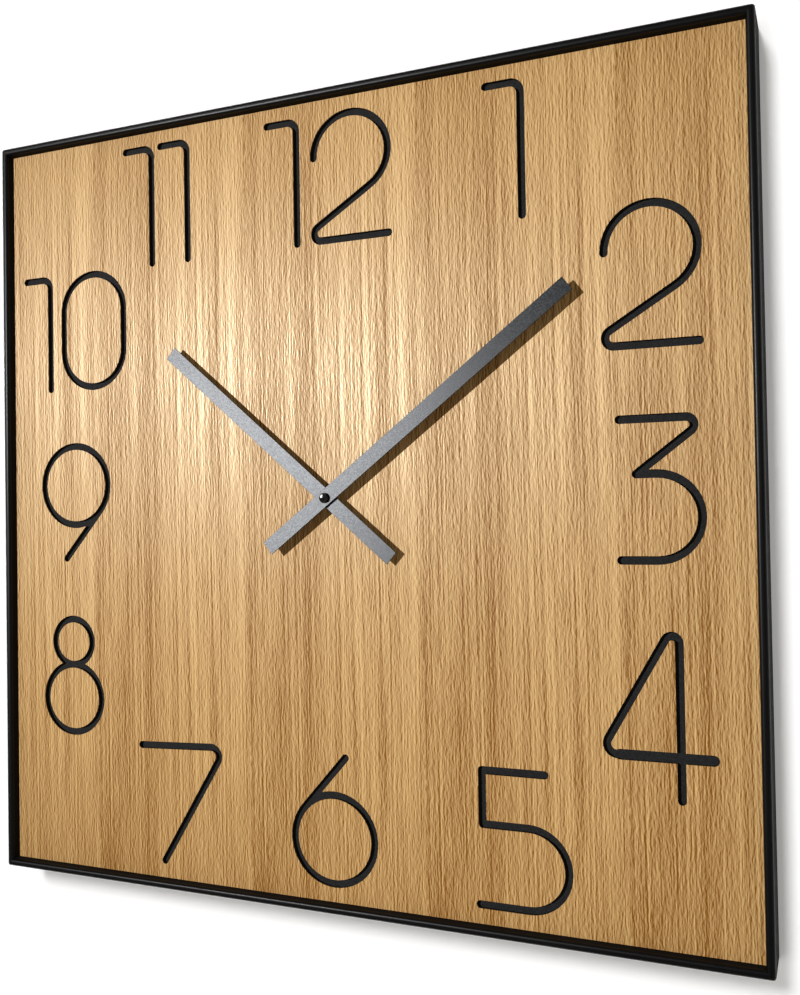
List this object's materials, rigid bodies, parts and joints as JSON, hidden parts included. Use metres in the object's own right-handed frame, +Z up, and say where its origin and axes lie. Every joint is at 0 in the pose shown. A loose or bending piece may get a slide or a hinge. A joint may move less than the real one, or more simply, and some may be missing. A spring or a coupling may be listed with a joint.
{
  "type": "wall clock",
  "caption": "Square wall clock with a black box frame, an oak dial with sunk numerals, two flat hands and a battery quartz movement behind the dial.",
  "frame": {"origin": "centre of the frame's back, on the wall plane", "axes": "+X to the viewer's right, +Z up, +Y into the wall, so the dial faces -Y"},
  "size_m": [0.6, 0.0414, 0.6],
  "materials": {
    "black_powder_coat": "fine-textured black powder coat on steel bar",
    "oak_veneer": "matt lacquered oak veneer, grain upright",
    "black_board": "black through-dyed fibreboard, routed",
    "satin_aluminium": "dark grey satin lacquer with fine flake on aluminium strip",
    "black_gloss": "polished black",
    "zinc_steel": "zinc-plated pressed steel",
    "black_abs": "fine-eroded black moulding",
    "white_acetal": "natural white moulding",
    "brass": "turned brass",
    "spring_steel": "rolled spring steel",
    "soft_iron": "punched soft iron sheet",
    "magnet": "sintered magnet",
    "enamelled_wire": "enamelled copper wire",
    "circuit_laminate": "green laminate",
    "nickel_can": "nickel-plated can",
    "black_resin": "poured resin blob",
    "nickel_strip": "nickel-plated strip",
    "battery_sleeve": "plain shrink sleeve"
  },
  "bodies": {
    "clock_case": {"frame": "black_powder_coat", "dial_board": "black_board", "oak_veneer": "oak_veneer", "board_brackets": "zinc_steel", "frame_screws": "zinc_steel", "board_screws": "zinc_steel", "hanger_left": "zinc_steel", "hanger_right": "zinc_steel", "hanger_screws": "zinc_steel", "movement_case": "black_abs", "movement_cover": "black_abs", "cover_screws": "zinc_steel", "movement_screws": "zinc_steel", "train_bridge": "white_acetal", "bridge_screws": "zinc_steel", "stator": "soft_iron", "coil_core": "soft_iron", "coil_bobbin": "white_acetal", "coil_winding": "enamelled_wire", "circuit_board": "circuit_laminate", "quartz_crystal": "nickel_can", "timing_chip": "black_resin", "contact_positive": "nickel_strip", "contact_negative": "nickel_strip"},
    "minute_group": {"minute_arbor": "brass", "centre_wheel": "white_acetal", "clutch_spring": "spring_steel", "minute_hand": "satin_aluminium", "minute_bush": "brass", "cap_nut": "black_gloss"},
    "hour_group": {"hour_wheel": "white_acetal", "hour_hand": "satin_aluminium", "hour_bush": "brass"},
    "motion_group": {"motion_wheel": "white_acetal"},
    "setting_group": {"setting_arbor": "white_acetal", "setting_knob": "black_abs"},
    "third_group": {"third_wheel": "white_acetal"},
    "seconds_group": {"seconds_wheel": "white_acetal"},
    "intermediate_group": {"intermediate_wheel": "white_acetal"},
    "rotor_group": {"rotor": "white_acetal", "rotor_magnet": "magnet"},
    "battery_group": {"battery": "battery_sleeve"}
  },
  "joints": [
    {"name": "minute_turn", "type": "hinge", "parent": "clock_case", "child": "minute_group", "pos_m": [0, 0, 0], "axis": [0, 1, 0], "continuous": true},
    {"name": "hour_turn", "type": "hinge", "parent": "clock_case", "child": "hour_group", "pos_m": [0, 0, 0], "axis": [0, 1, 0], "continuous": true},
    {"name": "motion_turn", "type": "hinge", "parent": "clock_case", "child": "motion_group", "pos_m": [-0.0075, 0, 0], "axis": [0, 1, 0], "continuous": true},
    {"name": "setting_turn", "type": "hinge", "parent": "clock_case", "child": "setting_group", "pos_m": [-0.014, 0, 0.00375], "axis": [0, 1, 0], "continuous": true},
    {"name": "third_turn", "type": "hinge", "parent": "clock_case", "child": "third_group", "pos_m": [0.0045, 0, 0.00779], "axis": [0, 1, 0], "continuous": true},
    {"name": "seconds_turn", "type": "hinge", "parent": "clock_case", "child": "seconds_group", "pos_m": [0.01249, 0, 0.0107], "axis": [0, 1, 0], "continuous": true},
    {"name": "intermediate_turn", "type": "hinge", "parent": "clock_case", "child": "intermediate_group", "pos_m": [0.00578, 0, 0.01633], "axis": [0, 1, 0], "continuous": true},
    {"name": "rotor_turn", "type": "hinge", "parent": "clock_case", "child": "rotor_group", "pos_m": [-0.00308, 0, 0.01789], "axis": [0, 1, 0], "continuous": true},
    {"name": "battery_slide", "type": "slide", "parent": "clock_case", "child": "battery_group", "axis": [0, 1, 0], "range_m": [0, 0.016]}
  ],
  "couplings": [
    {"joint": "hour_turn", "follows": "minute_turn", "ratio": 0.083333},
    {"joint": "motion_turn", "follows": "minute_turn", "ratio": -0.33333},
    {"joint": "setting_turn", "follows": "minute_turn", "ratio": 1},
    {"joint": "third_turn", "follows": "minute_turn", "ratio": -8},
    {"joint": "seconds_turn", "follows": "minute_turn", "ratio": 60},
    {"joint": "intermediate_turn", "follows": "minute_turn", "ratio": -360},
    {"joint": "rotor_turn", "follows": "minute_turn", "ratio": 1800}
  ]
}
